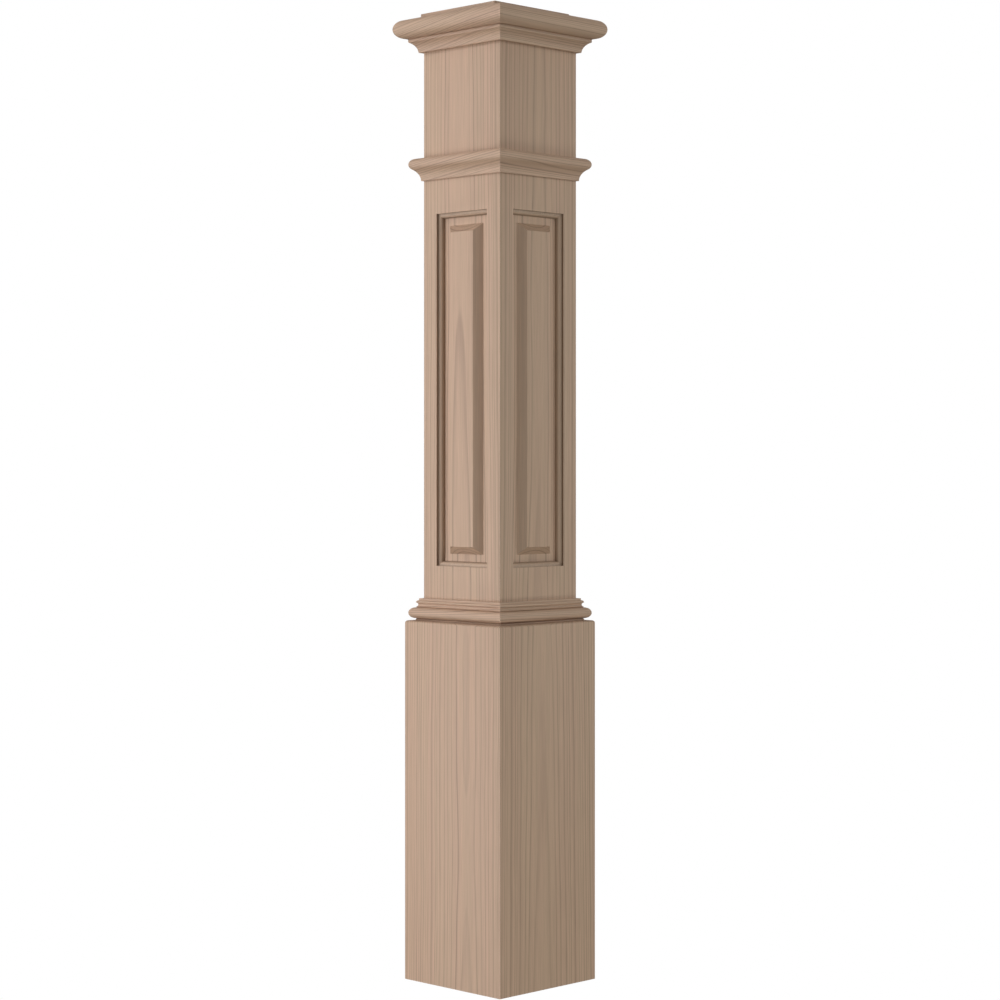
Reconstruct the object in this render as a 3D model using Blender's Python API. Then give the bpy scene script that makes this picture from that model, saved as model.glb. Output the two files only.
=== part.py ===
"""Square box newel post with a raised panel in each face, in light hardwood.

Metres, +Z up. The origin is the centre of the underside, and the front faces -Y. Every piece is made for
the front and turned to the other three sides. In a section, out is measured from the post's axis.
"""
import math

import bmesh
import bpy
from mathutils import Matrix, Vector

# Clearance between pieces that touch
GAP = 0.0003

# Shaft: four mitred boards from the floor to the top
POST_HEIGHT = 1.4240
SHAFT_WIDTH = 0.15875
SHAFT_BOARD_THICKNESS = 0.0198

# Base: four mitred boards round the foot of the shaft
BASE_HEIGHT = 0.5293
BASE_BOARD_THICKNESS = 0.0195
BASE_TOP_ROUND = 0.0036

# Raised panel worked into each shaft board, which fills the height between the base and the band
PANEL_ABOVE_BASE = 0.0810
PANEL_BELOW_BAND = 0.0502
STILE_WIDTH = 0.02695
QUIRK_DEPTH = 0.0042
PANEL_OVOLO_RADIUS = 0.0066
GROUND_WIDTH = 0.0113
PANEL_BEVEL_WIDTH = 0.0110

# Base moulding: strip, torus, scotia, ovolo and fillet, from the bottom up
STRIP_OUT = 0.0085
STRIP_HEIGHT = 0.0032
TORUS_RADIUS = 0.0079
TORUS_LEDGE = 0.0011
SCOTIA_RADIUS = 0.0031
SCOTIA_DEPTH = 0.0026
BASE_OVOLO_RADIUS = 0.0034
BASE_FILLET_HEIGHT = 0.0028

# Band moulding: a long cove that runs into a nose, set so that the neck above it keeps its height
BAND_BELOW_TOP = 0.2464
BAND_FOOT_OUT = 0.0031
BAND_COVE_RADIUS = 0.020
BAND_NOSE_RADIUS = 0.0087
BAND_NOSE_OUT = 0.0164

# Cap moulding: a cove, a fillet and a large half-round nose
CAP_FOOT_OUT = 0.0057
CAP_COVE_RADIUS = 0.0176
CAP_COVE_HEIGHT = 0.0151
CAP_COVE_HEAD_OUT = 0.0162
CAP_FILLET_OUT = 0.0165
CAP_FILLET_HEIGHT = 0.0053
CAP_NOSE_RADIUS = 0.0139
CAP_NOSE_OUT = 0.0329

# Top plate, laid over the hollow a little off the axis
PLATE_WIDTH = 0.1554
PLATE_THICKNESS = 0.0086
PLATE_EDGE_ROUND = 0.0020
PLATE_SHIFT = 0.0052

# Smoothness of round stretches
ARC_STEP = 7.5
SMALL_ARC_STEP = 15.0
ROUND_SEGMENTS = 4
SHARP_ANGLE = 32.0

# Values that follow from the sizes above
SHAFT_HALF = SHAFT_WIDTH / 2
SHAFT_FACE_CLEAR = SHAFT_HALF + GAP
SHAFT_TOP = POST_HEIGHT - PLATE_THICKNESS - GAP
BAND_FOOT = POST_HEIGHT - BAND_BELOW_TOP
PANEL_FOOT = BASE_HEIGHT + PANEL_ABOVE_BASE
PANEL_HEAD = BAND_FOOT - PANEL_BELOW_BAND
MITRE_SETBACK = GAP * math.sqrt(0.5)
SIDES = ("front", "right", "back", "left")

# Surface of the bare wood
WOOD_ROUGHNESS = 0.55
SHAFT_COLOUR = (0.52, 0.40, 0.31)
BASE_COLOUR = (0.50, 0.39, 0.30)
MOULDING_COLOUR = (0.50, 0.38, 0.29)
PLATE_COLOUR = (0.46, 0.36, 0.28)


def wood(name, colour):
    """A Principled material for bare wood."""
    material = bpy.data.materials.new(name)
    material.use_nodes = True
    shader = material.node_tree.nodes["Principled BSDF"]
    shader.inputs["Base Color"].default_value = (*colour, 1.0)
    shader.inputs["Roughness"].default_value = WOOD_ROUGHNESS
    shader.inputs["Metallic"].default_value = 0.0
    material.diffuse_color = (*colour, 1.0)
    return material


def arc(centre_out, centre_up, radius, start, end, step=ARC_STEP):
    """Points of an arc of a section, between two angles in degrees from the outward direction."""
    count = max(2, math.ceil(abs(end - start) / step))
    points = []
    for index in range(count + 1):
        angle = math.radians(start + (end - start) * index / count)
        points.append((centre_out + radius * math.cos(angle), centre_up + radius * math.sin(angle)))
    return points


def mitre_ends(shape):
    """Slide the corners at both ends along the side to a 45 degree mitre, half a gap short of its plane."""
    for corner in shape.verts:
        reach = -corner.co.y - MITRE_SETBACK
        corner.co.x = math.copysign(reach, corner.co.x)


def finish_mesh(shape, name, material):
    """Turn the edited shape into a mesh with smooth rounds and sharp arrises."""
    mesh = bpy.data.meshes.new(name)
    shape.to_mesh(mesh)
    shape.free()
    mesh.materials.append(material)
    mesh.shade_smooth()
    mesh.set_sharp_from_angle(angle=math.radians(SHARP_ANGLE))
    return mesh


def place_on_sides(name, mesh, collection):
    """Put one object for the mesh on each of the four sides."""
    for turn, side in enumerate(SIDES):
        piece = bpy.data.objects.new(f"{name}_{side}", mesh)
        piece.rotation_euler.z = turn * math.pi / 2
        collection.objects.link(piece)


def front_block(width, out_inner, out_outer, foot, head):
    """A plain block on the front side, between two distances from the axis and two heights."""
    shape = bmesh.new()
    bmesh.ops.create_cube(shape, size=1.0)
    bmesh.ops.scale(shape, vec=Vector((width, out_outer - out_inner, head - foot)), verts=shape.verts)
    middle = Vector((0.0, -(out_inner + out_outer) / 2, (foot + head) / 2))
    bmesh.ops.translate(shape, vec=middle, verts=shape.verts)
    return shape


def panel_steps():
    """The panel's section from the stile inwards, as steps of (how far in, how far out of the wood)."""
    steps = [(0.0, -QUIRK_DEPTH)]
    before = (0.0, 0.0)
    for out, up in arc(0.0, -PANEL_OVOLO_RADIUS, PANEL_OVOLO_RADIUS, 90.0, 0.0, SMALL_ARC_STEP)[1:]:
        steps.append((out - before[0], up - before[1]))
        before = (out, up)
    steps.append((GROUND_WIDTH, 0.0))
    steps.append((PANEL_BEVEL_WIDTH, QUIRK_DEPTH + PANEL_OVOLO_RADIUS))
    return steps


def build_shaft_boards(collection, material):
    """The shaft's boards, each with a panel worked into its outer face."""
    shape = front_block(SHAFT_WIDTH, SHAFT_HALF - SHAFT_BOARD_THICKNESS, SHAFT_HALF, 0.0, SHAFT_TOP)
    mitre_ends(shape)
    margin = STILE_WIDTH - MITRE_SETBACK
    for height in (PANEL_FOOT - margin, PANEL_HEAD + margin):
        everything = shape.verts[:] + shape.edges[:] + shape.faces[:]
        level = Vector((0.0, 0.0, height))
        bmesh.ops.bisect_plane(shape, geom=everything, plane_co=level, plane_no=Vector((0.0, 0.0, 1.0)))
    middle_height = (PANEL_FOOT + PANEL_HEAD) / 2
    centre = Vector((0.0, -SHAFT_HALF, middle_height))
    face = min(shape.faces, key=lambda each: (each.calc_center_median() - centre).length)
    for inwards, outwards in [(margin, 0.0)] + panel_steps():
        bmesh.ops.inset_individual(
            shape, faces=[face], thickness=inwards, depth=outwards, use_even_offset=True,
        )
    place_on_sides("shaft_board", finish_mesh(shape, "shaft_board", material), collection)


def build_base_boards(collection, material):
    """The base's boards, with a rounded upper arris."""
    outer = SHAFT_FACE_CLEAR + BASE_BOARD_THICKNESS
    shape = front_block(2 * outer, SHAFT_FACE_CLEAR, outer, 0.0, BASE_HEIGHT)
    middle = Vector((0.0, -outer, BASE_HEIGHT))
    arris = min(shape.edges, key=lambda edge: (edge.verts[0].co + edge.verts[1].co - 2 * middle).length)
    bmesh.ops.bevel(
        shape, geom=[arris], offset=BASE_TOP_ROUND, segments=ROUND_SEGMENTS, profile=0.5,
        affect="EDGES", clamp_overlap=True, material=-1,
    )
    mitre_ends(shape)
    place_on_sides("base_board", finish_mesh(shape, "base_board", material), collection)


def base_moulding_section():
    """The base moulding's section, which stands on the base boards."""
    foot = BASE_HEIGHT + GAP
    strip_out = SHAFT_HALF + STRIP_OUT
    torus_foot = foot + STRIP_HEIGHT
    scotia_half = math.sqrt(SCOTIA_RADIUS ** 2 - (SCOTIA_RADIUS - SCOTIA_DEPTH) ** 2)
    scotia_foot = torus_foot + 2 * TORUS_RADIUS + TORUS_LEDGE
    scotia_swing = math.degrees(math.asin(scotia_half / SCOTIA_RADIUS))
    scotia_centre_out = strip_out - SCOTIA_DEPTH + SCOTIA_RADIUS
    ovolo_foot = scotia_foot + 2 * scotia_half
    fillet_out = strip_out - BASE_OVOLO_RADIUS
    head = ovolo_foot + BASE_OVOLO_RADIUS + BASE_FILLET_HEIGHT
    outline = [(SHAFT_FACE_CLEAR, foot), (strip_out, foot)]
    outline += arc(strip_out, torus_foot + TORUS_RADIUS, TORUS_RADIUS, -90.0, 90.0)
    outline += arc(
        scotia_centre_out, scotia_foot + scotia_half, SCOTIA_RADIUS,
        180.0 + scotia_swing, 180.0 - scotia_swing, SMALL_ARC_STEP,
    )
    outline += arc(fillet_out, ovolo_foot, BASE_OVOLO_RADIUS, 0.0, 90.0, SMALL_ARC_STEP)[1:]
    outline += [(fillet_out, head), (SHAFT_FACE_CLEAR, head)]
    return outline


def band_moulding_section():
    """The band moulding's section: its nose and its cove meet on the line between their centres."""
    cove_centre_out = SHAFT_HALF + BAND_FOOT_OUT + BAND_COVE_RADIUS
    nose_centre_out = SHAFT_HALF + BAND_NOSE_OUT - BAND_NOSE_RADIUS
    between = BAND_COVE_RADIUS + BAND_NOSE_RADIUS
    across = cove_centre_out - nose_centre_out
    swing = math.degrees(math.acos(across / between))
    nose_centre_up = BAND_FOOT + math.sqrt(between ** 2 - across ** 2)
    outline = [(SHAFT_FACE_CLEAR, BAND_FOOT)]
    outline += arc(cove_centre_out, BAND_FOOT, BAND_COVE_RADIUS, 180.0, 180.0 - swing)
    outline += arc(nose_centre_out, nose_centre_up, BAND_NOSE_RADIUS, -swing, 90.0)[1:]
    outline.append((SHAFT_FACE_CLEAR, nose_centre_up + BAND_NOSE_RADIUS))
    return outline


def cap_moulding_section():
    """The cap moulding's section, which ends level with the top of the shaft."""
    nose_centre_up = SHAFT_TOP - CAP_NOSE_RADIUS
    nose_centre_out = SHAFT_HALF + CAP_NOSE_OUT - CAP_NOSE_RADIUS
    fillet_out = SHAFT_HALF + CAP_FILLET_OUT
    fillet_head = nose_centre_up - CAP_NOSE_RADIUS
    fillet_foot = fillet_head - CAP_FILLET_HEIGHT
    foot = fillet_foot - CAP_COVE_HEIGHT
    cove_foot = Vector((SHAFT_HALF + CAP_FOOT_OUT, foot))
    chord = Vector((SHAFT_HALF + CAP_COVE_HEAD_OUT, fillet_foot)) - cove_foot
    depth = math.sqrt(CAP_COVE_RADIUS ** 2 - chord.length_squared / 4)
    centre = cove_foot + chord / 2 + Vector((chord.y, -chord.x)).normalized() * depth
    middle = math.degrees(math.atan2(chord.x, -chord.y))
    swing = math.degrees(math.asin(chord.length / 2 / CAP_COVE_RADIUS))
    outline = [(SHAFT_FACE_CLEAR, foot)]
    outline += arc(centre.x, centre.y, CAP_COVE_RADIUS, middle + swing, middle - swing)
    outline += [(fillet_out, fillet_foot), (fillet_out, fillet_head)]
    outline += arc(nose_centre_out, nose_centre_up, CAP_NOSE_RADIUS, -90.0, 90.0)
    outline.append((SHAFT_FACE_CLEAR, SHAFT_TOP))
    return outline


def build_mouldings(name, outline, collection, material):
    """Four mitred lengths of a moulding, each the flat outline drawn out along its side."""
    curve = bpy.data.curves.new(name, "CURVE")
    curve.dimensions = "2D"
    curve.fill_mode = "BOTH"
    curve.extrude = SHAFT_HALF
    spline = curve.splines.new("POLY")
    spline.points.add(len(outline) - 1)
    spline.use_cyclic_u = True
    for point, (out, up) in zip(spline.points, outline):
        point.co = (out, up, 0.0, 1.0)
    length = bpy.data.objects.new(name, curve)
    collection.objects.link(length)
    depsgraph = bpy.context.evaluated_depsgraph_get()
    drawn = bpy.data.meshes.new_from_object(length.evaluated_get(depsgraph))
    bpy.data.objects.remove(length)
    bpy.data.curves.remove(curve)
    shape = bmesh.new()
    shape.from_mesh(drawn)
    bpy.data.meshes.remove(drawn)
    bmesh.ops.remove_doubles(shape, verts=shape.verts, dist=GAP / 100)
    stand_up = Matrix(((0.0, 0.0, -1.0), (-1.0, 0.0, 0.0), (0.0, 1.0, 0.0))).to_4x4()
    bmesh.ops.transform(shape, matrix=stand_up, verts=shape.verts)
    mitre_ends(shape)
    bmesh.ops.recalc_face_normals(shape, faces=shape.faces)
    place_on_sides(name, finish_mesh(shape, name, material), collection)


def build_top_plate(collection, material):
    """The plate over the hollow, rounded along its upper edges."""
    foot = POST_HEIGHT - PLATE_THICKNESS
    shape = front_block(PLATE_WIDTH, -PLATE_WIDTH / 2, PLATE_WIDTH / 2, foot, POST_HEIGHT)
    upper = [edge for edge in shape.edges if min(corner.co.z for corner in edge.verts) > foot + GAP]
    bmesh.ops.bevel(
        shape, geom=upper, offset=PLATE_EDGE_ROUND, segments=ROUND_SEGMENTS, profile=0.5,
        affect="EDGES", clamp_overlap=True, material=-1,
    )
    plate = bpy.data.objects.new("top_plate", finish_mesh(shape, "top_plate", material))
    plate.location = (-PLATE_SHIFT, -PLATE_SHIFT, 0.0)
    collection.objects.link(plate)


def main():
    """Clear the scene and build the post."""
    for leftover in list(bpy.data.objects):
        bpy.data.objects.remove(leftover)
    post = bpy.data.collections.new("newel_post")
    bpy.context.scene.collection.children.link(post)
    moulding_wood = wood("moulding_wood", MOULDING_COLOUR)
    build_shaft_boards(post, wood("shaft_wood", SHAFT_COLOUR))
    build_base_boards(post, wood("base_wood", BASE_COLOUR))
    build_mouldings("base_moulding", base_moulding_section(), post, moulding_wood)
    build_mouldings("band_moulding", band_moulding_section(), post, moulding_wood)
    build_mouldings("cap_moulding", cap_moulding_section(), post, moulding_wood)
    build_top_plate(post, wood("plate_wood", PLATE_COLOUR))


main()
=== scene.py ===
"""Dresses the square box newel post: boards and mouldings of bare poplar in a plain white studio.

Metres, +Z up, in the frame of the CAD. The front side faces -Y. Every board and every length of moulding
is shaped on the front side and turned to its own. In a section, out is measured from the post's axis.
"""
import logging
import math
from collections.abc import Callable, Iterator, Mapping, Sequence
from dataclasses import dataclass, field
from enum import Enum
from functools import partial

import bmesh
import bpy
from mathutils import Matrix, Vector


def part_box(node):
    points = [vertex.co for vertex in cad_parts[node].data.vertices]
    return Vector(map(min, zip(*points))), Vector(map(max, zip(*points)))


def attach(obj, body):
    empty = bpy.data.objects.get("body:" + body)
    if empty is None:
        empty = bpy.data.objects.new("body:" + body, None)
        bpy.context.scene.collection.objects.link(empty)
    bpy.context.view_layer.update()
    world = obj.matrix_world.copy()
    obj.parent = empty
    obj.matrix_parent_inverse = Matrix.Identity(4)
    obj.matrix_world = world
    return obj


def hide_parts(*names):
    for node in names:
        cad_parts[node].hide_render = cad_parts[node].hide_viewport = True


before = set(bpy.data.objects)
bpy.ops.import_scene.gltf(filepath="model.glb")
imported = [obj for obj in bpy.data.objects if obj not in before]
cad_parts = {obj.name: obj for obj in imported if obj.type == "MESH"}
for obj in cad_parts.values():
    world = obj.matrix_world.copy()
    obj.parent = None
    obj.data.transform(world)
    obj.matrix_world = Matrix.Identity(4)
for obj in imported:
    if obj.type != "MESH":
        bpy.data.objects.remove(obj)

LOG = logging.getLogger("newel_post")
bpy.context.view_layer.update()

Tree = bpy.types.NodeTree
Socket = bpy.types.NodeSocket

# The colour sockets of a Mix node by number, since their names are those of its other sockets too
COLOUR_A, COLOUR_B, MIXED_COLOUR = 6, 7, 2
# Leaves of a vector in the log only what lies across it
ACROSS_THE_LOG = (1.0, 1.0, 0.0)
# The attribute of a face that says how it was tooled, and how much painted shade darkens it in the panel's
# recess
WORKED_AND_SHADE = "worked_and_shade"

MM = 0.001
# Glued joints are closed up to this much, which is too fine to see
GLUE_LINE = 0.02 * MM
# Corners nearer to each other than this are one
ONE_CORNER = GLUE_LINE / 10
# How exactly a saw cut is placed
SAW_EXACTNESS = GLUE_LINE / 100
# Arrises are eased with fine paper, as on any planed and moulded wood
EASED_ARRIS = 0.35 * MM
EASING_SEGMENTS = 3
# Strips of a face narrower than this belong to a round and are shaded smooth
ROUND_STRIP = 2.4 * MM
# Edges that turn by more than this are arrises
ARRIS_ANGLE = math.radians(36.0)
# Edges that turn by less than this lie in a flat face
FLAT_ANGLE = math.radians(5.0)
# An edge runs along the side if it does so by at least this share of its length
LENGTHWISE_SHARE = 0.99
# Degrees of arc that one flat strip of a round covers
ARC_STEP = 5.0
# The cutter leaves a fine sunk line in an inner corner, deepest near the corner, which shows as a dark line
SINK_WIDTH = 1.0 * MM
SINK_DEPTH = 1.3 * MM
SINK_DEEPEST = SINK_WIDTH / 3


def linear(code: str) -> tuple[float, float, float, float]:
    """Turn an sRGB colour into the linear one that shaders take.

    Args:
        code: The colour as six hexadecimal digits after a hash.

    Returns:
        Red, green, blue and an alpha of one.
    """
    parts = [int(code[start:start + 2], 16) / 255 for start in (1, 3, 5)]
    red, green, blue = (
        part / 12.92 if part <= 0.04045 else ((part + 0.055) / 1.055) ** 2.4 for part in parts
    )
    return (red, green, blue, 1.0)


def add_node(
    tree: Tree, kind: str, inputs: Mapping[str | int, object] | None = None, **settings: object
) -> bpy.types.Node:
    """Add a node to a tree with its inputs and its settings.

    Args:
        tree: The node tree that takes the node.
        kind: The node's type name, without its ShaderNode.
        inputs: Values or sockets for its inputs, by name or number. A socket is linked.
        settings: Properties of the node, by name.

    Returns:
        The new node.
    """
    node = tree.nodes.new("ShaderNode" + kind)
    for name, value in settings.items():
        setattr(node, name, value)
    for name, value in (inputs or {}).items():
        if isinstance(value, Socket):
            tree.links.new(value, node.inputs[name])
        else:
            node.inputs[name].default_value = value
    return node


class Side(Enum):
    """The four sides of the post, by the quarter turns that bring the front one round to them."""

    FRONT = 0
    RIGHT = 1
    BACK = 2
    LEFT = 3

    @property
    def label(self) -> str:
        """The side's name as the CAD nodes spell it."""
        return self.name.lower()

    @property
    def turn(self) -> Matrix:
        """The rotation from the front side to this one."""
        return Matrix.Rotation(self.value * math.pi / 2, 4, "Z")


class Run(Enum):
    """Which way the grain of a piece runs."""

    UP_THE_POST = "up"
    ALONG_THE_SIDE = "along"

    @property
    def to_grain(self) -> Matrix:
        """The rotation that brings the piece's grain to +Z."""
        return Matrix.Rotation(-math.pi / 2, 4, "Y") if self is Run.ALONG_THE_SIDE else Matrix.Identity(4)


class WorkingAndShade(Enum):
    """How a strip of the panel was tooled and how much painted shade it has, by the mark on its faces.

    The highest mark is painted shade: the quirk's wall and the nick at the ovolo's foot are coloured dark
    brown for the shade in the recess. A mark between scraped and that one is scraped and carries the
    painted shade in part, as the foot of the ovolo is.
    """

    PLANED = 0.0
    SCRAPED = 0.5
    # Painted shade: these two marks colour a strip dark brown for the shade in the panel's recess
    HALF_PAINTED_SHADE = 0.81
    PAINTED_SHADE = 1.0


@dataclass(frozen=True)
class Cut:
    """Where in its log one piece was sawn, which gives the piece a figure of its own.

    Args:
        behind: Depth of the log's pith behind the face of the piece.
        aside: How far the pith lies to the side of the piece's middle line.
        lean: Lean of the log's axis against the piece, in degrees, in the face and into it.
        along: Place along the log, so that no two pieces repeat each other.
        tone: Lightness of the piece against the others.
    """

    behind: float
    aside: float
    lean: tuple[float, float]
    along: float
    tone: float = 1.0

    def placement(self, side: Side, run: Run, centre: Vector) -> Matrix:
        """The rigid move from the post's frame to the log's, where the pith is the Z axis.

        Args:
            side: The side that the piece is on.
            run: The way that its grain runs.
            centre: The middle of the piece's face, on the front side.

        Returns:
            The move as a matrix.
        """
        in_face, into_face = (math.radians(angle) for angle in self.lean)
        lean = Matrix.Rotation(in_face, 4, "Y") @ Matrix.Rotation(into_face, 4, "X")
        to_centre = Matrix.Translation(-(run.to_grain @ centre))
        to_pith = Matrix.Translation(Vector((-self.aside, -self.behind, self.along)))
        return to_pith @ lean @ to_centre @ run.to_grain @ side.turn.inverted()


@dataclass(frozen=True)
class Figure:
    """The real size of a pattern in the wood, across the grain and along it."""

    across: float
    along: float


@dataclass(frozen=True)
class YearRings:
    """Rings round the log's pith, each darkening to a thin line of late wood at its end.

    Places in a ring run from 0 to 1. A face that looks squarely along a ring's radius lies in that one
    ring, and shows less of its late wood. The two numbers of square_on are where that starts and ends.
    """

    # Tulip poplar grows fast, 3 to 5 mm a year
    spacing: float = 4.0 * MM
    # Wide and narrow years come in spells: the share of one that a ring takes up, and its shift in rings
    spell: float = 0.31
    unevenness: float = 2.2
    # Strength of the late wood in the faintest and in the boldest year
    boldness: tuple[float, float] = (0.38, 0.88)
    # It darkens towards the ring's end and stops short at the next year's pale wood
    darkening: tuple[float, float] = (0.40, 0.88)
    abruptness: float = 2.8
    paling: tuple[float, float] = (0.88, 0.96)
    square_on: tuple[float, float] = (0.95, 0.995)
    square_on_strength: float = 0.55


@dataclass(frozen=True)
class BarePoplar:
    """Tulip poplar, planed or moulded and left bare.

    The wood is a log of rings round its pith, so that faces show flat-sawn bands, end grain shows arcs and
    every bevel cuts them at its own slant. A ring ends in a thin mauve-brown line. Bands of green-tan and
    rose-tan heartwood run through it, and fibres draw fine streaks along it. The planer leaves it matt with
    a faint sheen on the late wood. A scraper closes the fibres, so that a scraped round or bevel looks even
    and greyer and hardly shows its rings. The quirk's wall and the ovolo's foot in the panel's recess are
    coloured dark brown: painted shade that darkens the recess beyond its real shade.
    """

    name: str
    rings: YearRings = YearRings()
    green_tan: str = "#CBAC92"
    rose_tan: str = "#CCAB92"
    late_wood: str = "#88685A"
    end_wood: str = "#9C7A5E"
    # Painted shade: the dark brown put on the quirk's wall and the ovolo's foot to deepen the shade of the
    # recess
    scraped: str = "#CCB19A"
    painted_shade: str = "#6E5845"
    late_depth: float = 0.76
    late_depth_on_ends: float = 0.98
    late_left_by_scraper: float = 0.25
    end_depth: float = 0.45
    end_abruptness: float = 1.6
    scraped_depth: float = 0.70
    # Share of the painted shade where it is fullest
    painted_shade_depth: float = 0.74
    # The log's slow sway, which makes the lines wander
    wander: Figure = Figure(110 * MM, 460 * MM)
    sway: float = 7.0 * MM
    # Bands of heartwood with soft edges, a few to a board
    bands: Figure = Figure(26 * MM, 900 * MM)
    band_edge: tuple[float, float] = (0.36, 0.64)
    # Real fibres and vessels are under 0.1 mm wide, so they are drawn as coarse as they need to show
    fibres: Figure = Figure(1.1 * MM, 55 * MM)
    fibre_spread: tuple[float, float] = (0.25, 0.75)
    fibre_depth: float = 0.085
    # Growth streaks, as wide as on real boards
    streaks: Figure = Figure(5.5 * MM, 320 * MM)
    streak_spread: tuple[float, float] = (0.3, 0.7)
    streak_depth: float = 0.045
    roughness: float = 0.58
    late_sheen: float = 0.10
    # The knives press the soft early wood down, so that late wood and fibres stand up a little
    relief: float = 0.05 * MM
    relief_strength: float = 0.5
    late_relief: float = 0.6

    def material(self, piece: str, placement: Matrix, tone: float) -> bpy.types.Material:
        """The finish for one piece, with the piece's own place in the log.

        Args:
            piece: The piece's name.
            placement: The move from the post's frame to the log's.
            tone: Lightness of this piece against the others.

        Returns:
            The material.
        """
        material = bpy.data.materials.new(f"{self.name}_{piece}")
        material.use_nodes = True
        GrainNodes(self, material.node_tree, placement).dress(tone)
        return material


class GrainNodes:
    """The nodes of one piece's finish. They all read the piece's own place in its log."""

    def __init__(self, wood: BarePoplar, tree: Tree, placement: Matrix) -> None:
        """Lay out the places, directions and marks that the patterns read.

        Args:
            wood: The wood and how it was worked.
            tree: The material's tree.
            placement: The move from the post's frame to the log's.
        """
        self.wood, self.tree, self.placement = wood, tree, placement
        self.add = partial(add_node, tree)
        location, rotation, _ = placement.decompose()
        coordinates = self.add("TexCoord")
        self.normal = coordinates.outputs["Normal"]
        self.log = self.add("Mapping", {
            "Vector": coordinates.outputs["Object"], "Location": location, "Rotation": rotation.to_euler(),
        }).outputs[0]
        self.swayed = self.add("VectorMath", {
            0: self.draw(wood.wander, self.log).outputs["Color"], 1: (wood.sway, wood.sway, 0.0), 2: self.log,
        }, operation="MULTIPLY_ADD").outputs[0]
        # Reads the tooling and the painted shade of the panel's recess
        self.worked_and_shade = self.add("Attribute", attribute_name=WORKED_AND_SHADE).outputs["Fac"]
        self.fibres = self.draw(wood.fibres, self.log).outputs[0]
        self.late = self.add("Math", {
            0: self.late_wood(), 1: self.clear_middle(),
        }, operation="MULTIPLY").outputs[0]
        self.ends = self.end_grain()

    def draw(self, figure: Figure, place: Socket) -> bpy.types.Node:
        """Draw a figure as noise, with about one cloud in each real size.

        Args:
            figure: The figure.
            place: The place in the log, in metres.

        Returns:
            The noise's node.
        """
        per_metre = (1.0 / figure.across, 1.0 / figure.across, 1.0 / figure.along)
        scaled = self.add("VectorMath", {0: place, 1: per_metre}, operation="MULTIPLY")
        return self.add("TexNoise", {"Vector": scaled.outputs[0], "Scale": 1.0, "Detail": 2.0})

    def lined_up(self, one: Socket, other: Socket | Vector) -> Socket:
        """How well two directions line up, whichever way each points.

        Args:
            one: A direction.
            other: Another.

        Returns:
            0 where they are square to each other, 1 where they are parallel.
        """
        dot = self.add("VectorMath", {0: one, 1: other}, operation="DOT_PRODUCT")
        return self.add("Math", {0: dot.outputs["Value"]}, operation="ABSOLUTE").outputs[0]

    def tinted(
        self, colour: Socket, tint: str, mark: Socket, depth: float, span: tuple[float, float] = (0.0, 1.0)
    ) -> Socket:
        """Tint a colour in step with a mark.

        Args:
            colour: The colour.
            tint: The colour that it goes towards.
            mark: What the tint follows.
            depth: Share of the tint where it is deepest.
            span: The mark where the tint starts and where it is deepest.

        Returns:
            The tinted colour.
        """
        share = self.add("MapRange", {
            "Value": mark, "From Min": span[0], "From Max": span[1], "To Max": depth,
        })
        return self.add("Mix", {
            "Factor": share.outputs[0], COLOUR_A: colour, COLOUR_B: linear(tint),
        }, data_type="RGBA").outputs[MIXED_COLOUR]

    def ring_count(self) -> Socket:
        """Count the rings from the pith outwards, some years wide and some narrow.

        Returns:
            The number of whole rings, and the share of the last one.
        """
        rings = self.wood.rings
        flat = self.add("VectorMath", {0: self.swayed, 1: ACROSS_THE_LOG}, operation="MULTIPLY")
        radius = self.add("VectorMath", {0: flat.outputs[0]}, operation="LENGTH")
        years = self.add("Math", {0: radius.outputs["Value"], 1: rings.spacing}, operation="DIVIDE")
        spells = self.add("Math", {0: years.outputs[0], 1: rings.spell}, operation="MULTIPLY")
        uneven = self.add("TexNoise", {
            "W": spells.outputs[0], "Scale": 1.0, "Detail": 1.0,
        }, noise_dimensions="1D")
        return self.add("Math", {
            0: uneven.outputs[0], 1: rings.unevenness, 2: years.outputs[0],
        }, operation="MULTIPLY_ADD").outputs[0]

    def late_wood(self) -> Socket:
        """Late wood at the end of each year's ring, some years bolder than others.

        Returns:
            How much late wood there is, from 0 to 1.
        """
        rings, count = self.wood.rings, self.ring_count()
        place = self.add("Math", {0: count}, operation="FRACT")
        year = self.add("Math", {0: count}, operation="FLOOR")
        lot = self.add("TexWhiteNoise", {"W": year.outputs[0]}, noise_dimensions="1D")
        bold = self.add("MapRange", {
            "Value": lot.outputs["Value"], "To Min": rings.boldness[0], "To Max": rings.boldness[1],
        })
        rise = self.add("MapRange", {
            "Value": place.outputs[0], "From Min": rings.darkening[0], "From Max": rings.darkening[1],
        }, interpolation_type="SMOOTHSTEP")
        deepening = self.add("Math", {0: rise.outputs[0], 1: rings.abruptness}, operation="POWER")
        fall = self.add("MapRange", {
            "Value": place.outputs[0], "From Min": rings.paling[0], "From Max": rings.paling[1],
            "To Min": 1.0, "To Max": 0.0,
        }, interpolation_type="SMOOTHSTEP")
        line = self.add("Math", {0: deepening.outputs[0], 1: fall.outputs[0]}, operation="MULTIPLY")
        return self.add("Math", {0: line.outputs[0], 1: bold.outputs[0]}, operation="MULTIPLY").outputs[0]

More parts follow.
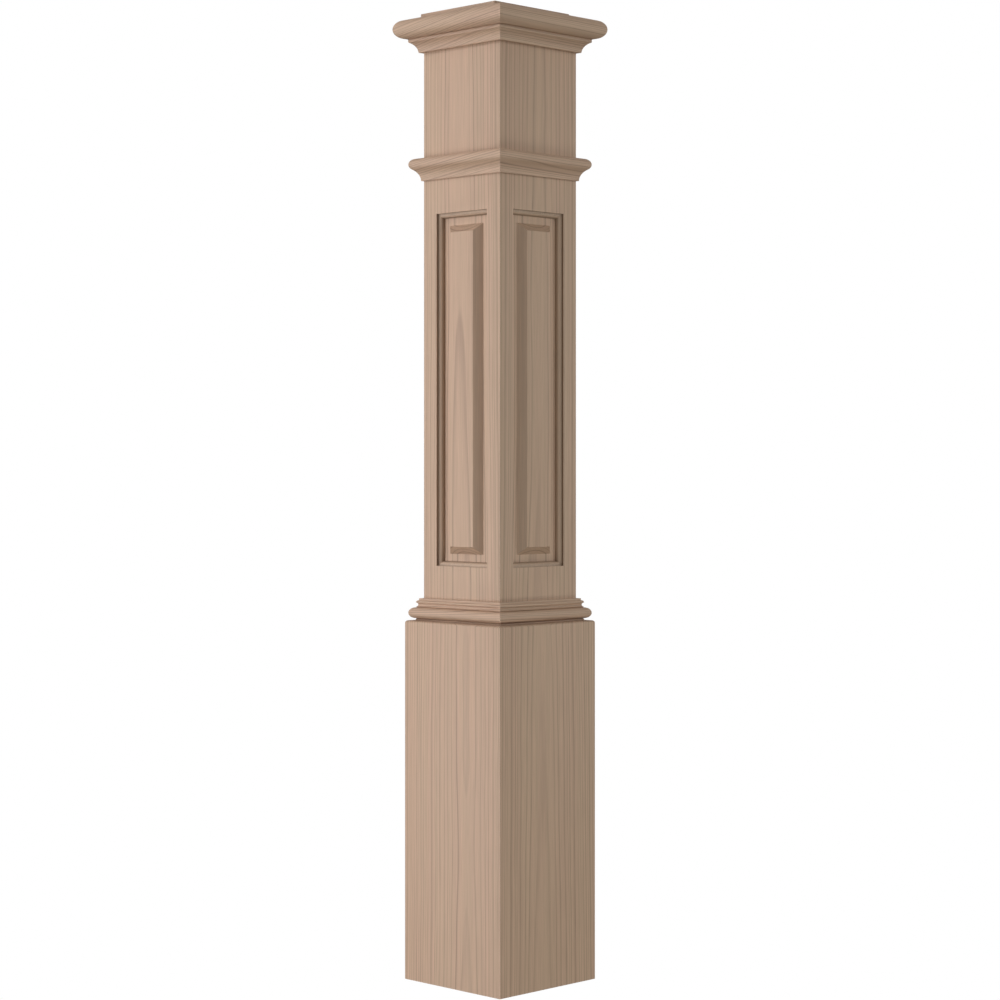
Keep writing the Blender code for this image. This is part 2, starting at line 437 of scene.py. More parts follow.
    def clear_middle(self) -> Socket:
        """Fade the late wood in the middle of a board, where its face lies in a single ring.

        Returns:
            1 where the surface cuts across the rings, less where it lies in one.
        """
        rings = self.wood.rings
        facing = self.add("Mapping", {
            "Vector": self.normal, "Rotation": self.placement.to_euler(),
        }, vector_type="VECTOR")
        flat = self.add("VectorMath", {0: self.log, 1: ACROSS_THE_LOG}, operation="MULTIPLY")
        outwards = self.add("VectorMath", {0: flat.outputs[0]}, operation="NORMALIZE")
        return self.add("MapRange", {
            "Value": self.lined_up(facing.outputs[0], outwards.outputs[0]),
            "From Min": rings.square_on[0], "From Max": rings.square_on[1],
            "To Min": 1.0, "To Max": rings.square_on_strength,
        }, interpolation_type="SMOOTHSTEP").outputs[0]

    def end_grain(self) -> Socket:
        """How far the surface cuts across the fibres.

        Returns:
            0 along the grain, 1 square across it.
        """
        along = self.placement.to_3x3().inverted() @ Vector((0.0, 0.0, 1.0))
        return self.add("Math", {
            0: self.lined_up(self.normal, along), 1: self.wood.end_abruptness,
        }, operation="POWER").outputs[0]

    def heartwood(self) -> Socket:
        """Colour of the wood between the late wood: bands of two tans, browner on end grain.

        Returns:
            The colour.
        """
        wood = self.wood
        rosy = self.add("MapRange", {
            "Value": self.draw(wood.bands, self.swayed).outputs[0],
            "From Min": wood.band_edge[0], "From Max": wood.band_edge[1],
        }, interpolation_type="SMOOTHSTEP")
        banded = self.add("Mix", {
            "Factor": rosy.outputs[0], COLOUR_A: linear(wood.green_tan), COLOUR_B: linear(wood.rose_tan),
        }, data_type="RGBA")
        return self.tinted(banded.outputs[MIXED_COLOUR], wood.end_wood, self.ends, wood.end_depth)

    def ringed(self) -> Socket:
        """The heartwood with its late wood, bolder on end grain and faint where it was scraped.

        Returns:
            The colour.
        """
        wood = self.wood
        depth = self.add("MapRange", {
            "Value": self.ends, "To Min": wood.late_depth, "To Max": wood.late_depth_on_ends,
        })
        left = self.add("MapRange", {
            "Value": self.worked_and_shade, "From Max": WorkingAndShade.SCRAPED.value,
            "To Min": 1.0, "To Max": wood.late_left_by_scraper,
        })
        shown = self.add("Math", {0: self.late, 1: left.outputs[0]}, operation="MULTIPLY")
        share = self.add("Math", {0: shown.outputs[0], 1: depth.outputs[0]}, operation="MULTIPLY")
        return self.add("Mix", {
            "Factor": share.outputs[0], COLOUR_A: self.heartwood(), COLOUR_B: linear(wood.late_wood),
        }, data_type="RGBA").outputs[MIXED_COLOUR]

    def tooled(self) -> Socket:
        """The ringed wood, greyer where it was scraped and dark brown with painted shade in the panel's
        recess.

        Returns:
            The colour.
        """
        wood, scraped = self.wood, WorkingAndShade.SCRAPED.value
        greyed = self.tinted(self.ringed(), wood.scraped, self.worked_and_shade, wood.scraped_depth, (0.0, scraped))
        # Painted shade: marked strips in the panel's recess are tinted dark brown for the shade there
        return self.tinted(
            greyed, wood.painted_shade, self.worked_and_shade, wood.painted_shade_depth, (scraped, WorkingAndShade.PAINTED_SHADE.value)
        )

    def shade(self, tone: float) -> Socket:
        """Lighter and darker streaks along the grain.

        Args:
            tone: Lightness of the piece against the others.

        Returns:
            The factor by which the colour is scaled.
        """
        wood, factor = self.wood, tone
        streaks = self.draw(wood.streaks, self.log).outputs[0]
        for pattern, spread, depth in (
            (self.fibres, wood.fibre_spread, wood.fibre_depth),
            (streaks, wood.streak_spread, wood.streak_depth),
        ):
            swing = self.add("MapRange", {
                "Value": pattern, "From Min": spread[0], "From Max": spread[1],
                "To Min": 1.0 - depth, "To Max": 1.0 + depth,
            })
            factor = self.add("Math", {0: swing.outputs[0], 1: factor}, operation="MULTIPLY").outputs[0]
        return factor

    def dress(self, tone: float) -> None:
        """Give the shader its colour, the late wood's faint sheen and the grain's fine relief.

        Args:
            tone: Lightness of the piece against the others.
        """
        wood = self.wood
        colour = self.add("VectorMath", {0: self.tooled(), "Scale": self.shade(tone)}, operation="SCALE")
        gloss = self.add("MapRange", {
            "Value": self.late, "To Min": wood.roughness, "To Max": wood.roughness - wood.late_sheen,
        })
        height = self.add("Math", {
            0: self.late, 1: wood.late_relief, 2: self.fibres,
        }, operation="MULTIPLY_ADD")
        bump = self.add("Bump", {
            "Strength": wood.relief_strength, "Distance": wood.relief, "Height": height.outputs[0],
        })
        shader = self.tree.nodes["Principled BSDF"]
        for source, socket in ((colour, "Base Color"), (gloss, "Roughness"), (bump, "Normal")):
            self.tree.links.new(source.outputs[0], shader.inputs[socket])


# Planed boards: the knives leave flat, matt faces with crisp fine lines
PLANED = BarePoplar("planed_poplar")
# Moulded lengths: the cutters cross the rings at every slant, so that these show bolder and closer
MOULDED = BarePoplar("moulded_poplar", rings=YearRings(3.2 * MM), late_depth=0.95, sway=11.0 * MM)


@dataclass
class Piece:
    """A shaped mesh that takes the place of one CAD node. It holds the record's material slot by name, which
    nothing here applies.
    """

    node: str
    slot: str
    side: Side

    def place(self, shape: bmesh.types.BMesh, material: bpy.types.Material) -> None:
        """Turn the shape to its side, make it an object and hand it to the frame.

        Args:
            shape: The piece on the front side. It is freed.
            material: The finish.
        """
        bmesh.ops.remove_doubles(shape, verts=shape.verts, dist=ONE_CORNER)
        bmesh.ops.recalc_face_normals(shape, faces=shape.faces)
        bmesh.ops.transform(shape, matrix=self.side.turn, verts=shape.verts)
        for face in shape.faces:
            narrowest = min(edge.calc_length() for edge in face.edges)
            face.smooth = len(face.verts) == 4 and narrowest < ROUND_STRIP
        mesh = bpy.data.meshes.new(f"{self.node}_dressed")
        shape.to_mesh(mesh)
        shape.free()
        mesh.set_sharp_from_angle(angle=ARRIS_ANGLE)
        mesh.materials.append(material)
        piece = bpy.data.objects.new(f"{self.node}_dressed", mesh)
        bpy.context.scene.collection.objects.link(piece)
        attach(piece, "root")
        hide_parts(self.node)
        LOG.info("%s: %d faces, stands for %s", piece.name, len(mesh.polygons), self.node)


class SectionPen:
    """Draws a section on the front side as a chain of edges, in out and up."""

    def __init__(self, out: float, up: float) -> None:
        """Put the pen down.

        Args:
            out: Distance from the post's axis.
            up: Height.
        """
        self.shape = bmesh.new()
        self.tip = self.shape.verts.new(Vector((0.0, -out, up)))

    def line_to(self, out: float, up: float) -> None:
        """Draw a straight line.

        Args:
            out: Where it ends, from the axis.
            up: The height where it ends.
        """
        made = bmesh.ops.extrude_vert_indiv(self.shape, verts=[self.tip])
        self.tip = made["verts"][0]
        self.tip.co = Vector((0.0, -out, up))

    def line_by_sink(self, out: float, up: float, corner_first: bool) -> None:
        """Draw a straight line with the sunk line of an inner corner at one end.

        Args:
            out: Where it ends, from the axis.
            up: The height where it ends.
            corner_first: Whether the corner is where the line starts, and not where it ends.
        """
        start, end = Vector((-self.tip.co.y, self.tip.co.z)), Vector((out, up))
        way = (end - start).normalized()
        inwards = Vector((-way.y, way.x))
        corner, away = (start, way) if corner_first else (end, -way)
        deepest = corner + away * SINK_DEEPEST + inwards * SINK_DEPTH
        rim = corner + away * SINK_WIDTH
        for point in (deepest, rim) if corner_first else (rim, deepest):
            self.line_to(*point)
        self.line_to(out, up)

    def arc(self, out: float, up: float, degrees: float) -> None:
        """Draw an arc, anticlockwise where outwards is to the right.

        Args:
            out: The centre's distance from the axis.
            up: The centre's height.
            degrees: The angle of the arc, negative for clockwise.
        """
        made = bmesh.ops.spin(
            self.shape, geom=[self.tip], cent=Vector((0.0, -out, up)), axis=Vector((1.0, 0.0, 0.0)),
            angle=-math.radians(degrees), steps=max(3, math.ceil(abs(degrees) / ARC_STEP)), use_merge=False,
        )
        self.tip = next(item for item in made["geom_last"] if isinstance(item, bmesh.types.BMVert))

    def draw_out(self, half_length: float) -> bmesh.types.BMesh:
        """Close the section and draw it out along the side, with a 45 degree mitre at each end.

        Args:
            half_length: Any length that clears the section, before the mitres are cut.

        Returns:
            The mitred length, its arrises eased.
        """
        shape = self.shape
        bmesh.ops.remove_doubles(shape, verts=shape.verts, dist=ONE_CORNER)
        ends = [corner for corner in shape.verts if len(corner.link_edges) == 1]
        bmesh.ops.contextual_create(shape, geom=ends)
        face = bmesh.ops.contextual_create(shape, geom=shape.edges[:])["faces"][0]
        bmesh.ops.translate(shape, vec=Vector((-half_length, 0.0, 0.0)), verts=shape.verts)
        drawn = bmesh.ops.extrude_face_region(shape, geom=[face])["geom"]
        far_end = [item for item in drawn if isinstance(item, bmesh.types.BMVert)]
        bmesh.ops.translate(shape, vec=Vector((2 * half_length, 0.0, 0.0)), verts=far_end)
        bmesh.ops.recalc_face_normals(shape, faces=shape.faces)
        round_arrises(shape, [edge for edge in shape.edges if is_lengthwise_arris(edge)])
        for corner in shape.verts:
            corner.co.x = math.copysign(-corner.co.y - GLUE_LINE, corner.co.x)
        return shape


def is_lengthwise_arris(edge: bmesh.types.BMEdge) -> bool:
    """Whether an edge is an outward arris that runs along the side.

    Args:
        edge: The edge.

    Returns:
        True for such an arris.
    """
    way = edge.verts[1].co - edge.verts[0].co
    return (
        len(edge.link_faces) == 2
        and abs(way.x) > LENGTHWISE_SHARE * way.length
        and edge.calc_face_angle_signed() > ARRIS_ANGLE
    )


def round_arrises(
    shape: bmesh.types.BMesh, arrises: Sequence[bmesh.types.BMEdge],
    radius: float = EASED_ARRIS, segments: int = EASING_SEGMENTS,
) -> None:
    """Round arrises off, by default as fine paper eases them.

    Args:
        shape: The shape that the edges belong to.
        arrises: The edges.
        radius: How much is taken off.
        segments: Facets of the round.
    """
    bmesh.ops.bevel(
        shape, geom=list(arrises), offset=radius, segments=segments, profile=0.5,
        affect="EDGES", clamp_overlap=True, material=-1,
    )


def cut_away(shape: bmesh.types.BMesh, point: Vector, normal: Vector) -> None:
    """Saw a shape flat and close the cut.

    Args:
        shape: The shape.
        point: A point on the saw's plane.
        normal: The way that the waste lies.
    """
    everything = shape.verts[:] + shape.edges[:] + shape.faces[:]
    cut = bmesh.ops.bisect_plane(
        shape, geom=everything, dist=SAW_EXACTNESS, plane_co=point, plane_no=normal, clear_outer=True
    )
    rim = [item for item in cut["geom_cut"] if isinstance(item, bmesh.types.BMEdge)]
    bmesh.ops.contextual_create(shape, geom=rim)


def square_block(width: float, foot: float, head: float) -> bmesh.types.BMesh:
    """A square block about the post's axis.

    Args:
        width: Its width on every side.
        foot: Height of its underside.
        head: Height of its top.

    Returns:
        The block.
    """
    shape = bmesh.new()
    bmesh.ops.create_cube(shape, size=1.0)
    bmesh.ops.scale(shape, vec=Vector((width, width, head - foot)), verts=shape.verts)
    bmesh.ops.translate(shape, vec=Vector((0.0, 0.0, (foot + head) / 2)), verts=shape.verts)
    return shape


def corner_edges(shape: bmesh.types.BMesh) -> list[bmesh.types.BMEdge]:
    """The edges of a square shape that lie over its diagonals.

    Args:
        shape: The shape, square about the axis.

    Returns:
        Its corner edges.
    """
    return [
        edge for edge in shape.edges
        if all(abs(abs(corner.co.x) - abs(corner.co.y)) < GLUE_LINE for corner in edge.verts)
        and (edge.verts[0].co - edge.verts[1].co).length > GLUE_LINE
        and edge.calc_face_angle_signed() > FLAT_ANGLE
    ]


def saw_board(shape: bmesh.types.BMesh, inner: float) -> None:
    """Cut the front board out of a square shape: flat at the back, mitred at both sides.

    Args:
        shape: The square shape.
        inner: Distance of the board's back from the axis.
    """
    cut_away(shape, Vector((0.0, -inner, 0.0)), Vector((0.0, 1.0, 0.0)))
    setback = Vector((0.0, -GLUE_LINE, 0.0))
    cut_away(shape, setback, Vector((1.0, 1.0, 0.0)).normalized())
    cut_away(shape, setback, Vector((-1.0, 1.0, 0.0)).normalized())


def build_sides(
    name: str, slot: str, centre: Vector, run: Run, wood: BarePoplar, cuts: Mapping[Side, Cut],
    shape: Callable[[], bmesh.types.BMesh],
) -> None:
    """Build and dress a piece on each side of the post.

    Args:
        name: The CAD nodes' name without the side.
        slot: The record's material slot.
        centre: The middle of the piece's face, on the front side.
        run: The way that its grain runs.
        wood: The finish.
        cuts: Where in its log each side's piece was sawn.
        shape: Shapes the piece on the front side.
    """
    for side, cut in cuts.items():
        node = f"{name}_{side.label}"
        material = wood.material(node, cut.placement(side, run, centre), cut.tone)
        Piece(node, slot, side).place(shape(), material)


@dataclass
class Shaft:
    """Four mitred boards from the floor to the cap, with a raised panel worked into each.

    A panel has a quirk whose wall is dark from painted shade as well as the real shade of the recess, an
    ovolo that ends in a dark foot line from a sunk nick and painted shade, a flat ground and a bevel up to
    the field. Its side bevels are scraped and show no rings. Its end bevels are as the plane left them,
    because end grain can't be scraped, and show the rings as arcs.
    """

    top: float
    half_width: float = 79.375 * MM
    board: float = 19.8 * MM
    panel_foot: float = 610.3 * MM
    panel_head: float = 1127.4 * MM
    stile: float = 26.95 * MM
    quirk: float = 3.7 * MM
    ovolo: float = 6.6 * MM
    ovolo_depth: float = 7.1 * MM
    # Share of the ovolo's strips, from the quirk down, that are only scraped; the strips below carry painted
    # shade in part
    ovolo_before_painted_shade: float = 0.62
    nick_width: float = SINK_WIDTH / 3
    nick_depth: float = SINK_DEPTH / 4
    ground: float = 11.3 * MM
    bevel: float = 11.0 * MM
    cuts: Mapping[Side, Cut] = field(default_factory=lambda: {
        Side.FRONT: Cut(70 * MM, 2 * MM, (0.25, 0.3), 3.1),
        Side.RIGHT: Cut(76.5 * MM, 4 * MM, (-0.2, 0.2), 7.7),
        Side.BACK: Cut(70 * MM, 8 * MM, (0.3, -0.4), 12.3),
        Side.LEFT: Cut(78 * MM, -4 * MM, (-0.3, -0.3), 17.9),
    })

    def panel_section(self) -> Iterator[tuple[float, float, WorkingAndShade]]:
        """The panel's section from the stile inwards.

        Yields:
            Distance in from the stile's edge and height over the face at each line of the section, and
            how the strip that ends there was tooled and how much painted shade it has.
        """
        ease = EASED_ARRIS
        for degrees in (0.0, 30.0, 60.0, 90.0):
            angle = math.radians(degrees)
            yield (-ease * (1.0 - math.sin(angle)), -ease * (1.0 - math.cos(angle)), WorkingAndShade.PLANED)
        # The quirk's wall carries painted shade: dark brown that deepens the shade in the recess
        yield (0.0, -self.quirk, WorkingAndShade.PAINTED_SHADE)
        strips = math.ceil(90.0 / ARC_STEP)
        for strip in range(1, strips + 1):
            angle = math.radians(90.0 * strip / strips)
            # The ovolo's lower strips carry painted shade in part
            yield (
                self.ovolo * math.sin(angle),
                -self.quirk - self.ovolo_depth * (1.0 - math.cos(angle)),
                WorkingAndShade.SCRAPED if strip < self.ovolo_before_painted_shade * strips else WorkingAndShade.HALF_PAINTED_SHADE,
            )
        depth = -self.quirk - self.ovolo_depth
        # The sunk nick at the ovolo's foot carries painted shade as well
        yield (self.ovolo + self.nick_width / 2, depth - self.nick_depth, WorkingAndShade.PAINTED_SHADE)
        yield (self.ovolo + self.nick_width, depth, WorkingAndShade.PLANED)
        ground_end = self.ovolo + self.ground
        yield (ground_end, depth, WorkingAndShade.PLANED)
        field_edge = ground_end + self.bevel
        slope = math.atan2(-depth, self.bevel)
        yield (field_edge - ease * math.cos(slope), -ease * math.sin(slope), WorkingAndShade.SCRAPED)
        # The field's arris is eased through three points
        yield (field_edge - 0.25 * ease, -0.2 * ease, WorkingAndShade.PLANED)
        yield (field_edge + 0.6 * ease, 0.0, WorkingAndShade.PLANED)

    def shape_board(self) -> bmesh.types.BMesh:
        """Shape the front board.

        Returns:
            The board with its panel.
        """
        shape = square_block(2 * self.half_width, 0.0, self.top)
        round_arrises(shape, corner_edges(shape))
        saw_board(shape, self.half_width - self.board)
        section = list(self.panel_section())
        margin = self.stile + section[0][0] - EASED_ARRIS
        for height in (self.panel_foot - margin, self.panel_head + margin):
            everything = shape.verts[:] + shape.edges[:] + shape.faces[:]
            level = Vector((0.0, 0.0, height))
            bmesh.ops.bisect_plane(shape, geom=everything, plane_co=level, plane_no=Vector((0.0, 0.0, 1.0)))
        middle = Vector((0.0, -self.half_width, (self.panel_foot + self.panel_head) / 2))
        mark = shape.faces.layers.float.new(WORKED_AND_SHADE)
        face = min(shape.faces, key=lambda each: (each.calc_center_median() - middle).length)
        before = (section[0][0] - margin, 0.0)
        for inwards, height, working_and_shade in section:
            made = bmesh.ops.inset_individual(
                shape, faces=[face], thickness=inwards - before[0], depth=height - before[1],
                use_even_offset=True,
            )
            for strip in made["faces"]:
                # Past the ovolo, the strips at the head and the foot are as the plane left them
                at_an_end = abs(strip.calc_center_median().z - middle.z) > self.stile
                worked_and_shade = WorkingAndShade.PLANED if at_an_end and inwards > self.ovolo else working_and_shade
                strip[mark] = worked_and_shade.value
            before = (inwards, height)
        return shape

    def build(self) -> None:
        """Build and dress the four boards."""
        centre = Vector((0.0, -self.half_width, self.top / 2))
        build_sides(
            "shaft_board", "shaft_wood", centre, Run.UP_THE_POST, PLANED, self.cuts, self.shape_board
        )


@dataclass
class Base:
    """Four mitred boards round the foot of the shaft."""

    inner: float
    outer: float
    height: float
    top_round: float = 3.6 * MM
    top_segments: int = 10
    cuts: Mapping[Side, Cut] = field(default_factory=lambda: {
        Side.FRONT: Cut(76 * MM, 34 * MM, (-0.2, 0.2), 25.3),
        Side.RIGHT: Cut(82 * MM, -8 * MM, (0.2, 0.5), 29.9),
        Side.BACK: Cut(80 * MM, -12 * MM, (0.3, -0.4), 35.1),
        Side.LEFT: Cut(88 * MM, 5 * MM, (-0.2, -0.4), 41.7),
    })

    def shape_board(self) -> bmesh.types.BMesh:
        """Shape the front board.

        Returns:
            The board with its upper arris rounded.
        """
        shape = square_block(2 * self.outer, 0.0, self.height)
        upper = [
            edge for edge in shape.edges if all(corner.co.z > self.height / 2 for corner in edge.verts)
        ]
        round_arrises(shape, upper, self.top_round, self.top_segments)
        round_arrises(shape, corner_edges(shape))
        saw_board(shape, self.inner)
        return shape

    def build(self) -> None:
        """Build and dress the four boards."""
        centre = Vector((0.0, -self.outer, self.height / 2))
        build_sides("base_board", "base_wood", centre, Run.UP_THE_POST, PLANED, self.cuts, self.shape_board)


@dataclass
class Moulding:
    """A moulding mitred round the shaft. The kinds differ in their section."""

    name: str
    foot: float
    cuts: Mapping[Side, Cut]
    wall: float = 79.375 * MM

    @property
    def back(self) -> float:
        """The back of the moulding, a glue line clear of the shaft."""
        return self.wall + GLUE_LINE

    def pen_at_foot(self) -> SectionPen:
        """Start a section with the sunk line that shows dark where the underside meets the shaft.

        Returns:
            The pen, on the underside.
        """
        pen = SectionPen(self.back, self.foot + SINK_DEPTH)
        pen.line_to(self.back + SINK_WIDTH, self.foot)
        return pen

    def draw_section(self) -> SectionPen:
        """Draw the section. Each kind of moulding has its own."""
        raise NotImplementedError

    def shape_length(self) -> bmesh.types.BMesh:
        """Shape the front length, drawn out long enough for any mitre."""
        return self.draw_section().draw_out(2 * self.wall)

    def build(self) -> None:
        """Build and dress the four lengths."""
        lowest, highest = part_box(f"{self.name}_front")
        centre = Vector((0.0, lowest.y, (lowest.z + highest.z) / 2))
        build_sides(
            self.name, "moulding_wood", centre, Run.ALONG_THE_SIDE, MOULDED, self.cuts, self.shape_length
        )


@dataclass
class BaseMoulding(Moulding):
    """The moulding on the base: strip, torus, scotia, ovolo and fillet, from the bottom up."""

    strip_out: float = 8.5 * MM
    strip_height: float = 3.2 * MM
    torus: float = 7.9 * MM
    ledge: float = 1.1 * MM
    scotia: float = 3.1 * MM
    scotia_depth: float = 2.6 * MM
    ovolo: float = 3.4 * MM
    fillet: float = 2.8 * MM

    def draw_section(self) -> SectionPen:
        """Draw the section.

        Returns:
            The pen, back at the wall.
        """
        out = self.wall + self.strip_out
        torus_middle = self.foot + self.strip_height + self.torus
        half = math.sqrt(self.scotia ** 2 - (self.scotia - self.scotia_depth) ** 2)
        scotia_middle = torus_middle + self.torus + self.ledge + half
        swing = math.degrees(math.asin(half / self.scotia))
        ovolo_foot = scotia_middle + half
        pen = SectionPen(self.back, self.foot)
        pen.line_to(out, self.foot)
        pen.line_by_sink(out, torus_middle - self.torus, corner_first=False)
        pen.arc(out, torus_middle, 180.0)
        pen.line_by_sink(out, scotia_middle - half, corner_first=True)
        pen.arc(out - self.scotia_depth + self.scotia, scotia_middle, -2 * swing)
        pen.arc(out - self.ovolo, ovolo_foot, 90.0)
        pen.line_to(out - self.ovolo, ovolo_foot + self.ovolo + self.fillet)
        pen.line_to(self.back, ovolo_foot + self.ovolo + self.fillet)
        return pen


@dataclass
class BandMoulding(Moulding):
    """The moulding below the neck: a long cove that runs into a nose."""

    foot_out: float = 3.1 * MM
    cove: float = 20.0 * MM
    nose: float = 8.7 * MM
    nose_out: float = 16.4 * MM

    def draw_section(self) -> SectionPen:
        """Draw the section.

        Returns:
            The pen, back at the wall.
        """
        cove_out = self.wall + self.foot_out + self.cove
        nose_out = self.wall + self.nose_out - self.nose
        across = cove_out - nose_out
        swing = math.degrees(math.acos(across / (self.cove + self.nose)))
        nose_up = self.foot + math.sqrt((self.cove + self.nose) ** 2 - across ** 2)
        pen = self.pen_at_foot()
        pen.line_to(self.wall + self.foot_out, self.foot)
        pen.arc(cove_out, self.foot, -swing)
        pen.arc(nose_out, nose_up, 90.0 + swing)
        pen.line_to(self.back, nose_up + self.nose)
        return pen


@dataclass
class CapMoulding(Moulding):
    """The moulding at the top: a cove, a fillet and a large half-round nose."""

    foot_out: float = 5.7 * MM
    cove: float = 17.6 * MM
    cove_height: float = 15.1 * MM
    cove_head_out: float = 16.2 * MM
    fillet_out: float = 16.5 * MM
    fillet_height: float = 5.3 * MM
    nose: float = 13.9 * MM
    nose_out: float = 32.9 * MM

    def draw_section(self) -> SectionPen:
        """Draw the section.

        Returns:
            The pen, back at the wall.
        """
        cove_foot = Vector((self.wall + self.foot_out, self.foot))
        fillet_foot = self.foot + self.cove_height
        chord = Vector((self.wall + self.cove_head_out, fillet_foot)) - cove_foot
        reach = math.sqrt(self.cove ** 2 - chord.length_squared / 4)
        centre = cove_foot + chord / 2 + Vector((chord.y, -chord.x)).normalized() * reach
        swing = math.degrees(math.asin(chord.length / 2 / self.cove))
        nose_foot = fillet_foot + self.fillet_height
        nose_out = self.wall + self.nose_out - self.nose
        pen = self.pen_at_foot()
        pen.line_to(cove_foot.x, cove_foot.y)
        pen.arc(centre.x, centre.y, -2 * swing)
        pen.line_to(self.wall + self.fillet_out, fillet_foot)
        pen.line_by_sink(self.wall + self.fillet_out, nose_foot, corner_first=False)
        pen.line_to(nose_out, nose_foot)
        pen.arc(nose_out, nose_foot + self.nose, 180.0)
        pen.line_to(self.back, nose_foot + 2 * self.nose)
        return pen


@dataclass
class TopPlate:
    """The thin square plate over the hollow, its upper arrises rounded.

    It reaches down over the joint of 0.3 mm that the solids leave under it.
    """

    edge_round: float = 2.0 * MM
    edge_segments: int = 6
    corner_round: float = 1.2 * MM
    corner_segments: int = 4
    reach_down: float = 0.28 * MM
    cut: Cut = Cut(60 * MM, 30 * MM, (2.0, 1.0), 55.0, 0.96)

    def build(self) -> None:
        """Build and dress the plate where the CAD has it."""
        lowest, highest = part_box("top_plate")
        middle = (lowest + highest) / 2
        shape = square_block(highest.x - lowest.x, lowest.z - self.reach_down, highest.z)
        upright = [edge for edge in shape.edges if abs(edge.verts[0].co.z - edge.verts[1].co.z) > MM]
        round_arrises(shape, upright, self.corner_round, self.corner_segments)
        upper = [
            edge for edge in shape.edges
            if all(corner.co.z > highest.z - GLUE_LINE for corner in edge.verts)
            and len(edge.link_faces) == 2 and edge.calc_face_angle() > ARRIS_ANGLE
        ]
        round_arrises(shape, upper, self.edge_round, self.edge_segments)
        bmesh.ops.translate(shape, vec=Vector((middle.x, middle.y, 0.0)), verts=shape.verts)
        placement = self.cut.placement(Side.FRONT, Run.ALONG_THE_SIDE, middle)
        Piece("top_plate", "plate_wood", Side.FRONT).place(
            shape, PLANED.material("top_plate", placement, self.cut.tone)
        )


@dataclass(frozen=True)
class SoftBox:
    """A large soft lamp beside the post.

    Its bearing from the post is in degrees anticlockwise from +X as seen from above, its rise over the
    post's middle in degrees, and its power in watts.
    """

    name: str
    bearing: float
    rise: float
    distance: float
    width: float
    height: float
    power: float
    colour: str = "#FFFFFF"

    def hang(self, aim: Vector, let_through: bpy.types.Collection) -> None:
        """Put the lamp in its place, facing the post.

        Args:
            aim: The point that it faces.
            let_through: What doesn't stop its light.
        """
        lamp = bpy.data.lights.new(self.name, "AREA")
        lamp.shape = "RECTANGLE"
        lamp.size, lamp.size_y = self.width, self.height
        lamp.energy = self.power
        lamp.color = linear(self.colour)[:3]
        holder = bpy.data.objects.new(self.name, lamp)
        holder.visible_camera = False
        bearing, rise = math.radians(self.bearing), math.radians(self.rise)
        way = Vector((
            math.cos(bearing) * math.cos(rise), math.sin(bearing) * math.cos(rise), math.sin(rise)
        ))
        holder.location = aim + way * self.distance
        holder.rotation_euler = way.to_track_quat("Z", "Y").to_euler()
        holder.light_linking.blocker_collection = let_through
        bpy.context.scene.collection.objects.link(holder)


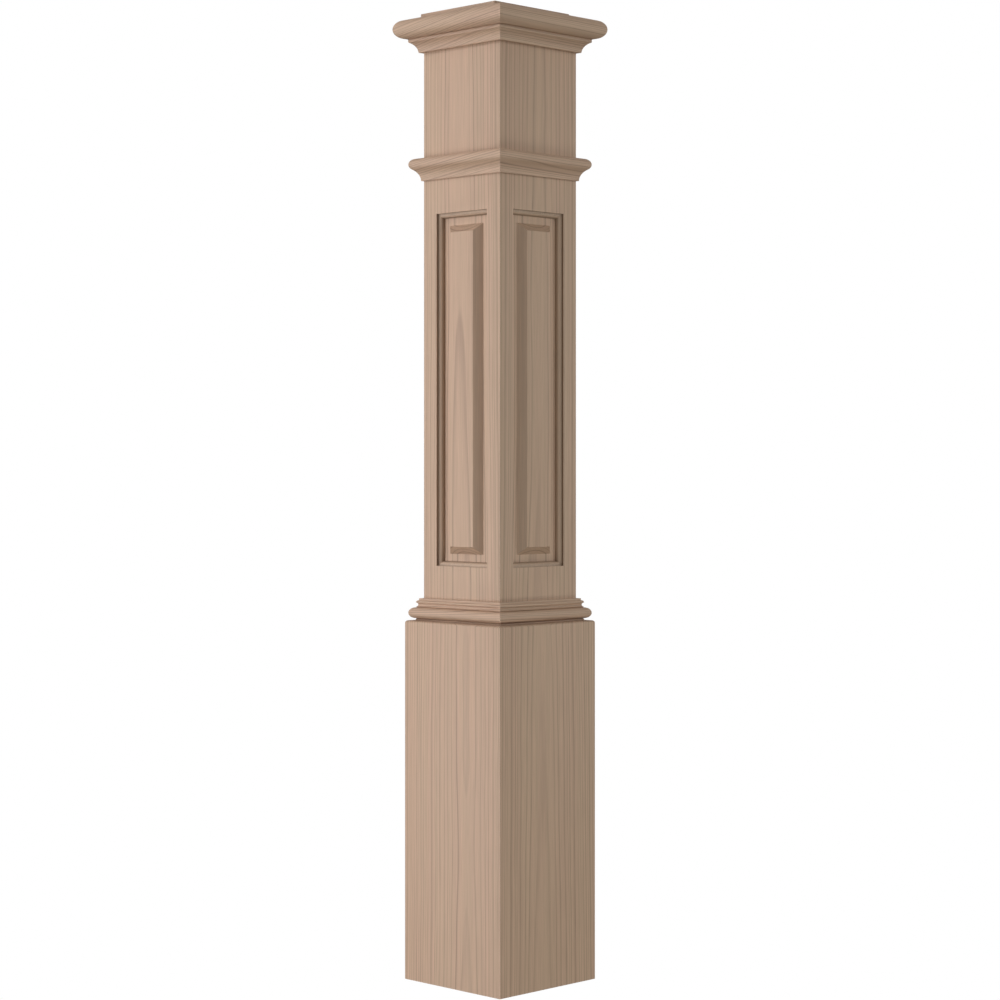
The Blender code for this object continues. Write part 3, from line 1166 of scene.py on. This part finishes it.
@dataclass
class Studio:
    """A white floor and surround, soft lamps and the camera at the photograph's corner.

    The floor lies a hair under the post, so that the two don't share a plane, and lights nothing.
    """

    camera_distance: float = 3.648
    camera_height: float = 0.7639
    focal_length: float = 88.956
    sensor: float = 36.0
    rise_of_frame: float = -0.0387
    floor_width: float = 30.0
    floor_drop: float = 0.2 * MM
    floor_glow: float = 0.0
    surround_glow: float = 0.262
    aim: Vector = field(default_factory=lambda: Vector((0.0, 0.0, 0.75)))
    lamps: Sequence[SoftBox] = (
        SoftBox("left_side", -135.0, 5.0, 3.0, 1.2, 2.6, 28.1),
        SoftBox("left_high", -120.0, 40.0, 3.5, 1.2, 1.6, 32.8),
        SoftBox("left_low", -120.0, -20.0, 3.5, 1.2, 1.6, 35.6),
        SoftBox("left_under", -75.0, -45.0, 3.5, 1.2, 1.6, 8.4),
        SoftBox("right_under", -15.0, -45.0, 3.5, 1.2, 1.6, 27.8, "#FBFFFA"),
        SoftBox("right_high", 5.0, 40.0, 3.5, 1.2, 1.6, 12.8, "#FBFFFA"),
        SoftBox("right_side", 45.0, 5.0, 3.0, 1.2, 2.6, 21.2, "#FBFFFA"),
    )

    def place_camera(self) -> None:
        """Put the camera at the photograph's viewing angle, level, on the post's front right corner."""
        data = bpy.data.cameras.new("camera")
        data.sensor_width = self.sensor
        data.lens = self.focal_length
        data.shift_y = self.rise_of_frame
        camera = bpy.data.objects.new("camera", data)
        side = self.camera_distance * math.sqrt(0.5)
        camera.location = Vector((side, -side, self.camera_height))
        camera.rotation_euler = (math.pi / 2, 0.0, math.pi / 4)
        bpy.context.scene.collection.objects.link(camera)
        bpy.context.scene.camera = camera

    @staticmethod
    def whiten(tree: Tree, shader: str, output: str, glow: float) -> None:
        """Make the floor or the surround full white to the eye, and light the post less than that.

        Args:
            tree: Its node tree.
            shader: The kind of its shader.
            output: The kind of its output.
            glow: The strength that lights the post.
        """
        tree.nodes.clear()
        seen = add_node(tree, "LightPath")
        strength = add_node(tree, "MapRange", {
            "Value": seen.outputs["Is Camera Ray"], "To Min": glow, "To Max": 1.0,
        })
        white = add_node(tree, shader, {"Color": linear("#FFFFFF"), "Strength": strength.outputs[0]})
        add_node(tree, output, {"Surface": white.outputs[0]})

    def lay_floor(self) -> bpy.types.Collection:
        """Lay the white floor, which the camera sees as bright as the surround.

        Returns:
            The floor as a collection that lets the lamps' light through, as the milk glass of a
            photographer's table does for the lamps under it. It shows no edge, shadow or grain.
        """
        shape = bmesh.new()
        bmesh.ops.create_grid(shape, x_segments=1, y_segments=1, size=self.floor_width / 2)
        bmesh.ops.translate(shape, vec=Vector((0.0, 0.0, -self.floor_drop)), verts=shape.verts)
        mesh = bpy.data.meshes.new("floor")
        shape.to_mesh(mesh)
        shape.free()
        material = bpy.data.materials.new("milk_glass_floor")
        material.use_nodes = True
        self.whiten(material.node_tree, "Emission", "OutputMaterial", self.floor_glow)
        mesh.materials.append(material)
        floor = bpy.data.objects.new("floor", mesh)
        bpy.context.scene.collection.objects.link(floor)
        glass = bpy.data.collections.new("milk_glass")
        glass.objects.link(floor)
        glass.collection_objects[0].light_linking.link_state = "EXCLUDE"
        return glass

    def light_surround(self) -> None:
        """Make the surround white to the eye, and a dim even light on the post."""
        world = bpy.data.worlds.new("white_surround")
        world.use_nodes = True
        self.whiten(world.node_tree, "Background", "OutputWorld", self.surround_glow)
        bpy.context.scene.world = world

    def build(self) -> None:
        """Set up the studio."""
        bpy.context.scene.view_settings.view_transform = "Standard"
        self.place_camera()
        glass = self.lay_floor()
        self.light_surround()
        for lamp in self.lamps:
            lamp.hang(self.aim, glass)
        LOG.info("studio: camera, floor, surround and %d lamps", len(self.lamps))


def main() -> None:
    """Build every sub-assembly in order."""
    logging.basicConfig(level=logging.INFO, format="%(name)s: %(message)s")
    Studio().build()
    shaft_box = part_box("shaft_board_front")
    base_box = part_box("base_board_front")
    Shaft(top=shaft_box[1].z).build()
    Base(inner=-base_box[1].y, outer=-base_box[0].y, height=base_box[1].z).build()
    BaseMoulding("base_moulding", base_box[1].z + GLUE_LINE, {
        Side.FRONT: Cut(40 * MM, 95 * MM, (3.0, 1.5), 61.0),
        Side.RIGHT: Cut(50 * MM, -90 * MM, (-1.5, 1.0), 66.0),
        Side.BACK: Cut(45 * MM, -85 * MM, (2.0, -1.5), 71.0),
        Side.LEFT: Cut(38 * MM, 92 * MM, (-2.0, 1.0), 76.0),
    }).build()
    BandMoulding("band_moulding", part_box("band_moulding_front")[0].z, {
        Side.FRONT: Cut(45 * MM, 90 * MM, (8.0, 3.0), 81.0),
        Side.RIGHT: Cut(60 * MM, -95 * MM, (-2.0, 1.5), 86.0),
        Side.BACK: Cut(50 * MM, 88 * MM, (4.0, -2.0), 91.0),
        Side.LEFT: Cut(42 * MM, -94 * MM, (-5.0, 1.5), 96.0),
    }).build()
    CapMoulding("cap_moulding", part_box("cap_moulding_front")[0].z, {
        Side.FRONT: Cut(50 * MM, 100 * MM, (9.0, 3.0), 101.0),
        Side.RIGHT: Cut(60 * MM, -110 * MM, (-1.5, 1.0), 106.0),
        Side.BACK: Cut(55 * MM, 98 * MM, (6.0, -2.0), 111.0),
        Side.LEFT: Cut(48 * MM, -102 * MM, (-4.0, 2.0), 116.0),
    }).build()
    TopPlate().build()


if __name__ == "__main__":
    main()
